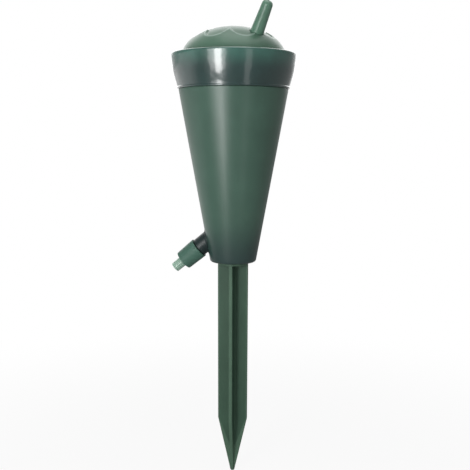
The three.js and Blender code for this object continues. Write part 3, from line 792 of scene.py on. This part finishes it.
def make_lid_seal():
    """Flat ring between the lid's flange and the top of the cone's wall."""
    wall_top = HEIGHT - FLANGE - LID_SEAL - 2 * SEAL_GAP
    inner = cone_radius(wall_top) - WALL_ACROSS
    outer = cone_radius(wall_top) - BAND_SEAT
    low = wall_top + SEAL_GAP
    high = low + LID_SEAL
    corners = [(inner, low, 0.2), (outer, low, 0.2), (outer, high, 0.2), (inner, high, 0.2)]
    seal = ring("lid_gasket", corners, LARGE_SIDES, RESERVOIR)
    finish_piece(seal, "lid_seal", "lid_seal", rubber)


def make_peg():
    """Tapered glossy stem with a rounded, vented end and a grooved plug."""
    shoulder = -POCKET_DEPTH + SEAT_GAP
    plug_end = -POCKET_DEPTH - PEG_BOSS - PEG_BOSS_WALL
    half = PEG_RING + SEAL_GAP
    stem = ring("peg", [
        (VENT, plug_end),
        (PEG_PLUG, plug_end, 0.8),
        (PEG_PLUG, PEG_RING_AT - half),
        (PEG_GROOVE, PEG_RING_AT - half),
        (PEG_GROOVE, PEG_RING_AT + half),
        (PEG_PLUG, PEG_RING_AT + half),
        (PEG_PLUG, shoulder),
        (PEG_BASE, shoulder, 0.3),
        (PEG_TOP, PEG_LENGTH, PEG_ROUND),
        (VENT, PEG_LENGTH, 0.3),
    ], SMALL_SIDES, PEG, longest=2.0)
    finish_piece(stem, "vent_peg", "vent_peg", peg_plastic)


def make_peg_ring():
    """Sealing ring in the plug's groove."""
    radius = PEG_PLUG + SEAT_GAP - SEAL_GAP - PEG_RING
    o_ring = torus("peg_ring", radius, PEG_RING, PEG_RING_AT, PEG)
    finish_piece(o_ring, "peg_o_ring", "vent_peg", rubber)


def thread(name, inner, outer, inner_width, outer_width, low, high, phase):
    """A right-hand thread ridge about +Z with closed ends."""
    room = high - low - max(inner_width, outer_width)
    steps = math.ceil(room / THREAD_PITCH * SMALL_SIDES)
    middle = (low + high) / 2
    section = ((inner, -inner_width), (outer, -outer_width), (outer, outer_width), (inner, inner_width))
    rows = []
    for step in range(steps + 1):
        rise = (step / steps - 0.5) * room
        angle = phase + 2 * math.pi * (middle + rise) / THREAD_PITCH
        outward = Vector((math.cos(angle), math.sin(angle)))
        rows.append([Vector((*(outward * r), middle + rise + w / 2)) for r, w in section])
    vertices, faces = skinned(rows)
    faces.append([0, 1, 2, 3])
    faces.append([len(vertices) - 4 + corner for corner in range(4)])
    return add_solid(name, vertices, faces, VALVE)


def wall_station(radius, angle):
    """Where a line along the valve's axis, at a radius and angle about it, meets the cone's outside."""
    low, high = -2 * NECK, 2 * NECK
    for _ in range(40):
        middle = (low + high) / 2
        point = VALVE @ Vector((radius * math.cos(angle), radius * math.sin(angle), middle))
        if math.hypot(point.x, point.y) < cone_radius(point.z - FLOOR_Z):
            low = middle
        else:
            high = middle
    return high


def neck_foot():
    """The neck's hollow-sided foot, which widens to lie against the cone."""
    rows = []
    for side in range(SMALL_SIDES):
        angle = 2 * math.pi * side / SMALL_SIDES
        section = [(NECK - NECK_FOOT, 0), (NECK + NECK_FOOT, 0)]
        for step in range(ARC_STEPS + 1):
            turn = math.pi / 2 * step / ARC_STEPS
            section.append((NECK + NECK_FOOT * (1 - math.sin(turn)), NECK_FOOT * (1.15 - math.cos(turn))))
        section.append((NECK - NECK_FOOT, NECK_FOOT))
        row = []
        for radius, rise in section:
            station = wall_station(radius, angle) + SEAL_GAP + rise
            row.append(Vector((radius * math.cos(angle), radius * math.sin(angle), station)))
        rows.append(row)
    return add_solid("neck_foot", *skinned(rows, loop=True), VALVE)


def make_valve_body():
    """Black neck with the shank inside the wall and the threaded nipple under the knob."""
    half = KNOB_RING + SEAL_GAP
    body = ring("valve", [
        (FLOW_BORE, SHANK_END, 0.2),
        (SHANK, SHANK_END, 0.3),
        (SHANK, NECK_INNER),
        (NECK, NECK_INNER, 0.2),
        (NECK, NECK_END, 0.5),
        (CORE, NECK_END),
        (CORE, CORE_END, 0.2),
        (LAND, CORE_END),
        (LAND, KNOB_RING_AT - half),
        (GROOVE, KNOB_RING_AT - half),
        (GROOVE, KNOB_RING_AT + half),
        (LAND, KNOB_RING_AT + half),
        (LAND, NIPPLE_END, 0.2),
        (FLOW_BORE, NIPPLE_END),
        (FLOW_BORE, ORIFICE_END + FLOW_BORE - ORIFICE),
        (ORIFICE, ORIFICE_END),
        (ORIFICE, ORIFICE_START),
        (FLOW_BORE, ORIFICE_START),
    ], SMALL_SIDES, VALVE, longest=2.0)
    low = NECK_END + RIDGE_ROOT
    high = CORE_END - SEAT_GAP
    crest = CORE + THREAD_DEPTH
    ridge = thread("nipple_thread", CORE - OVERLAP, crest, RIDGE_ROOT, RIDGE_CREST, low, high, 0)
    combine(body, ridge, "UNION")
    combine(body, neck_foot(), "UNION")
    finish_piece(body, "valve_body", "reservoir", valve_plastic)


def make_valve_seals():
    """Flat ring under the neck in the counterbore, and the ring that seals the knob on the nipple."""
    low = -SPOT_DEPTH + SEAL_GAP
    high = NECK_INNER - SEAL_GAP
    hole = SHANK + SEAT_GAP
    corners = [(hole, low, 0.2), (NECK, low, 0.2), (NECK, high, 0.2), (hole, high, 0.2)]
    seal = ring("valve_gasket", corners, SMALL_SIDES, VALVE)
    finish_piece(seal, "valve_body_seal", "reservoir", rubber)
    o_ring = torus("knob_ring", KNOB_RING_RADIUS, KNOB_RING, KNOB_RING_AT, VALVE)
    finish_piece(o_ring, "knob_o_ring", "reservoir", rubber)


def make_nut():
    """Six-sided lock nut with chamfered corners."""
    high = BOSS_FACE - SEAT_GAP
    low = high - NUT_HEIGHT
    corner = NUT_FLATS / math.sqrt(3)
    nut = bar("nut", corner, low, high, VALVE, sides=6)
    edge = corner - NUT_CHAMFER
    chamfer = lathe("nut_chamfer", [
        (0, low),
        (edge, low),
        (corner, low + NUT_CHAMFER),
        (corner, high - NUT_CHAMFER),
        (edge, high),
        (0, high),
    ], SMALL_SIDES, VALVE)
    combine(nut, chamfer, "INTERSECT")
    combine(nut, bar("nut_hole", SHANK + SEAT_GAP, low - 1, high + 1, VALVE), "DIFFERENCE")
    finish_piece(nut, "valve_lock_nut", "reservoir", valve_plastic)


def make_strainer():
    """Slotted cap over the shank's inner end."""
    inner = SHANK + SEAT_GAP
    outer = inner + STRAINER_WALL
    mouth = BOSS_FACE - NUT_HEIGHT - 2 * SEAT_GAP
    floor = SHANK_END - STRAINER_CHAMBER
    end = floor - STRAINER_WALL
    cap = lathe("strainer", [
        (0, end),
        (outer, end, 0.6),
        (outer, mouth, 0.2),
        (inner, mouth, 0.2),
        (inner, floor, 0.3),
        (0, floor),
    ], SMALL_SIDES, VALVE)
    for third in range(3):
        size = (4 * outer, STRAINER_SLOT, STRAINER_CHAMBER - 2 * SEAT_GAP)
        turn = VALVE @ Matrix.Rotation(third * math.pi / 3, 4, "Z")
        combine(cap, block("slot", size, (0, 0, floor + STRAINER_CHAMBER / 2), turn), "DIFFERENCE")
    finish_piece(cap, "inlet_strainer", "reservoir", natural_plastic)


def make_knob():
    """Plain round knob, threaded inside."""
    knob = ring("knob", [
        (WIDE_BORE, KNOB_START, 0.3),
        (KNOB, KNOB_START, KNOB_EDGE),
        (KNOB_END, KNOB_STOP, KNOB_EDGE),
        (TIP_BASE + SEAT_GAP, KNOB_STOP, 0.2),
        (TIP_BASE + SEAT_GAP, KNOB_FLOOR),
        (NARROW_BORE, KNOB_FLOOR),
        (NARROW_BORE, WIDE_END),
        (WIDE_BORE, WIDE_END),
    ], SMALL_SIDES, VALVE, longest=2.0)
    crest = CORE + THREAD_PLAY
    root = WIDE_BORE + OVERLAP
    low = KNOB_START + SEAT_GAP
    ridge = thread("knob_thread", crest, root, RIDGE_CREST, RIDGE_ROOT, low, WIDE_END, math.pi)
    combine(knob, ridge, "UNION")
    finish_piece(knob, "drip_knob", "drip_knob", knob_plastic)


def make_needle():
    """Pointed pin on a disc with four flow holes, inside the knob."""
    pin_end = ORIFICE_END + NEEDLE - ORIFICE + SLIDE_GAP
    point = pin_end - NEEDLE + NEEDLE_POINT
    needle = lathe("needle", [
        (0, point),
        (NEEDLE_POINT, point, 0.1),
        (NEEDLE, pin_end),
        (NEEDLE, DISC_LOW, 0.3),
        (DISC_RADIUS, DISC_LOW, 0.15),
        (DISC_RADIUS, DISC_HIGH, 0.15),
        (0, DISC_HIGH),
    ], SMALL_SIDES, VALVE)
    for quarter in range(4):
        turn = Matrix.Rotation(quarter * math.pi / 2, 4, "Z")
        place = VALVE @ turn @ Matrix.Translation((FLOW_CIRCLE, 0, 0))
        hole = bar("flow_hole", FLOW_HOLE, DISC_LOW - 1, DISC_HIGH + 1, place, sides=32)
        combine(needle, hole, "DIFFERENCE")
    finish_piece(needle, "drip_needle", "drip_tip", natural_plastic)


def make_tip():
    """Pale hollow outlet with a flange inside the knob and a funnel at its inner end."""
    end = KNOB_STOP + TIP_REACH
    tip = ring("tip", [
        (FLOW_CIRCLE + FLOW_HOLE / 2, TIP_LOW),
        (DISC_RADIUS, TIP_LOW),
        (DISC_RADIUS, TIP_SHOULDER),
        (TIP_BASE, TIP_SHOULDER),
        (TIP_END, end, TIP_EDGE),
        (TIP_BORE, end, TIP_EDGE),
        (TIP_BORE, TIP_LOW + TIP_FUNNEL),
    ], SMALL_SIDES, VALVE, longest=2.0)
    finish_piece(tip, "drip_tip", "drip_tip", tip_plastic)


# Stage: pale floor, white surround, softboxes and the camera
FILL_STRENGTH = 0.43

# What mirrors show: the bright side, where brightness starts and is full, its dim and full level
WALLS = ((-0.16, 0.74, 0.65), 0.3, 1.0, 0.22, 1.0)
SHEET = ((-0.85, 0.5, 1.5), 0.2, 0.6, 0.28, 0.9)

# Floor: size in millimetres, colour, share of white near the origin, and where that grows to 1, in metres
FLOOR_SIZE = 8000.0
FLOOR_COLOUR = 0.5
FLOOR_GLOW_NEAR = 0.9
FLOOR_GLOW_FROM = 0.15
FLOOR_GLOW_TO = 0.45


def either(tree, first, second):
    """1 where one of two values is 1."""
    node = tree.nodes.new("ShaderNodeMath")
    node.operation = "MAXIMUM"
    tree.links.new(first, node.inputs[0])
    tree.links.new(second, node.inputs[1])
    return node.outputs[0]


def surround(tree, direction, side, start, end, dim, bright):
    """Brightness of the surround, white to the eye but dim on one side in mirrors, and where it is seen."""
    path = tree.nodes.new("ShaderNodeLightPath")
    clear = either(tree, path.outputs["Is Camera Ray"], path.outputs["Is Transmission Ray"])
    facing = vector_math(tree, "DOT_PRODUCT", direction, side)["Value"]
    room = graded(tree, facing, start, end, dim, bright)
    return either(tree, clear, room), either(tree, clear, path.outputs["Is Glossy Ray"])


def make_world():
    """White surround for what is seen or mirrored, and an even fill for scattered light."""
    world = bpy.data.worlds.new("studio")
    world.use_nodes = True
    bpy.context.scene.world = world
    tree = world.node_tree
    fill = tree.nodes["Background"]
    fill.inputs["Color"].default_value = (1, 1, 1, 1)
    fill.inputs["Strength"].default_value = FILL_STRENGTH
    where = tree.nodes.new("ShaderNodeTexCoord")
    brightness, seen = surround(tree, where.outputs["Generated"], *WALLS)
    white = tree.nodes.new("ShaderNodeBackground")
    white.inputs["Color"].default_value = (1, 1, 1, 1)
    tree.links.new(brightness, white.inputs["Strength"])
    mix = tree.nodes.new("ShaderNodeMixShader")
    tree.links.new(seen, mix.inputs["Fac"])
    tree.links.new(fill.outputs[0], mix.inputs[1])
    tree.links.new(white.outputs[0], mix.inputs[2])
    tree.links.new(mix.outputs[0], tree.nodes["World Output"].inputs["Surface"])


def make_floor():
    """Pale floor under the spike's tip that keeps a soft shadow and is white further away."""
    half = FLOOR_SIZE / 2
    corners = [Vector((x * half, y * half, TIP_Z)) for x, y in ((-1, -1), (1, -1), (1, 1), (-1, 1))]
    mesh = bpy.data.meshes.new("floor")
    mesh.from_pydata([corner * MM for corner in corners], [], [(0, 1, 2, 3)])
    floor = bpy.data.objects.new("floor", mesh)
    bpy.context.scene.collection.objects.link(floor)
    material, tree, shader = new_material("floor_white")
    shader.inputs["Base Color"].default_value = (FLOOR_COLOUR, FLOOR_COLOUR, FLOOR_COLOUR, 1)
    shader.inputs["Roughness"].default_value = 0.9
    where = tree.nodes.new("ShaderNodeTexCoord")
    direction = vector_math(tree, "NORMALIZE", where.outputs["Object"])["Vector"]
    brightness, seen = surround(tree, direction, *SHEET)
    glow = tree.nodes.new("ShaderNodeEmission")
    tree.links.new(brightness, glow.inputs["Strength"])
    distance = vector_math(tree, "LENGTH", where.outputs["Object"])["Value"]
    share = tree.nodes.new("ShaderNodeMath")
    share.operation = "MULTIPLY"
    glowing = graded(tree, distance, FLOOR_GLOW_FROM, FLOOR_GLOW_TO, FLOOR_GLOW_NEAR, 1.0)
    tree.links.new(glowing, share.inputs[0])
    tree.links.new(seen, share.inputs[1])
    mix = tree.nodes.new("ShaderNodeMixShader")
    tree.links.new(share.outputs[0], mix.inputs["Fac"])
    tree.links.new(shader.outputs[0], mix.inputs[1])
    tree.links.new(glow.outputs[0], mix.inputs[2])
    tree.links.new(mix.outputs[0], tree.nodes["Material Output"].inputs["Surface"])
    mesh.materials.append(material)


def add_lamp(name, width, height, radiance, place):
    """A rectangular panel light that faces along -Z of its place, in millimetres."""
    lamp = bpy.data.lights.new(name, "AREA")
    lamp.shape = "RECTANGLE"
    lamp.size = width * MM
    lamp.size_y = height * MM
    lamp.energy = radiance * math.pi * lamp.size * lamp.size_y
    box = bpy.data.objects.new(name, lamp)
    box.location = place.translation * MM
    box.rotation_euler = place.to_euler()
    box.visible_camera = False
    bpy.context.scene.collection.objects.link(box)


def softbox(name, azimuth, distance, low, high, width, radiance):
    """An upright panel light facing the axis; azimuth is from the camera's side, in degrees."""
    turn = Matrix.Rotation(math.radians(CAMERA_AZIMUTH + azimuth), 4, "Z")
    reach = Matrix.Translation((0, -distance, (low + high) / 2))
    upright = Matrix.Rotation(math.pi / 2, 4, "X")
    add_lamp(name, width, high - low, radiance, turn @ reach @ upright)


def make_lights():
    """Key with a bright core on the left, a weak second on the right, a wide panel behind and one above."""
    softbox("key", -27.0, 480.0, -82.0, 250.0, 100.0, 9.2)
    softbox("key_surround", -30.0, 485.0, -82.0, 250.0, 270.0, 2.7)
    softbox("second", 26.5, 480.0, -125.0, 230.0, 95.0, 0.9)
    softbox("back", 180.0, 800.0, 180.0, 1000.0, 1500.0, 1.2)
    add_lamp("top", 800.0, 800.0, 1.8, Matrix.Translation((150.0, -150.0, 1000.0)))


def make_camera():
    """Camera at the photographed angle."""
    data = bpy.data.cameras.new("camera")
    data.sensor_width = SENSOR_MM
    data.lens = FOCAL_PIXELS / PICTURE_PIXELS * SENSOR_MM
    camera = bpy.data.objects.new("camera", data)
    turn = Matrix.Rotation(math.radians(CAMERA_AZIMUTH), 4, "Z")
    reach = Matrix.Translation((0, -CAMERA_DISTANCE, RIM_Z - CAMERA_BELOW_RIM))
    yaw = Matrix.Rotation(math.radians(CAMERA_YAW), 4, "Z")
    pitch = Matrix.Rotation(math.radians(90 - CAMERA_PITCH), 4, "X")
    roll = Matrix.Rotation(math.radians(CAMERA_ROLL), 4, "Z")
    place = turn @ reach @ yaw @ pitch @ roll
    camera.location = place.translation * MM
    camera.rotation_euler = place.to_euler()
    bpy.context.scene.collection.objects.link(camera)
    bpy.context.scene.camera = camera


make_camera()
make_world()
make_floor()
make_lights()
make_spike()
make_reservoir()
make_band()
make_lid()
make_lid_seal()
make_peg()
make_peg_ring()
make_valve_body()
make_valve_seals()
make_nut()
make_strainer()
make_knob()
make_needle()
make_tip()

bpy.context.scene.view_settings.view_transform = "Standard"
